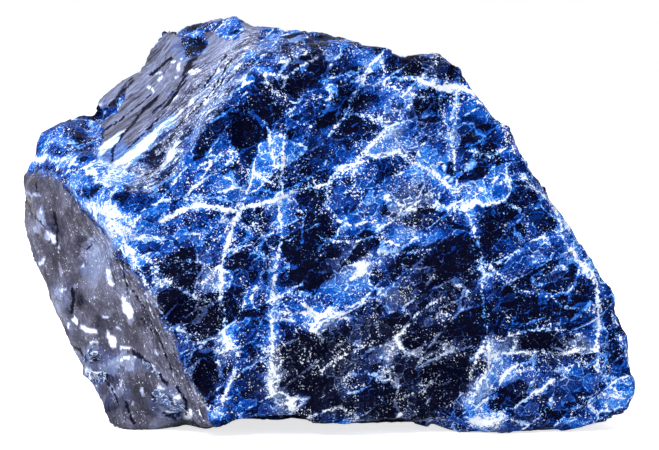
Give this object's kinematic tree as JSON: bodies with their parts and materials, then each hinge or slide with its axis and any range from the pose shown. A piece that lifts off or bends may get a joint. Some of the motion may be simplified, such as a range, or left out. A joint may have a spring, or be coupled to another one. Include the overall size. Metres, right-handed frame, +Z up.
{
  "type": "rough sodalite stone",
  "caption": "Rough broken piece of deep blue sodalite with white veins and grey weathered faces, which stands on a small flat foot.",
  "frame": {"origin": "middle of the stone's bounding box in plan, at the level of the surface it stands on", "axes": "+X to the right along the big front fracture, +Y towards the back, +Z up"},
  "size_m": [0.0798, 0.0408, 0.0529],
  "materials": {
    "sodalite": "broken rock: glassy navy to royal blue grains, near-black patches, matt white veins, greasy grey skin on the left faces"
  },
  "bodies": {
    "root": {"sodalite_stone": "sodalite"}
  },
  "joints": []
}
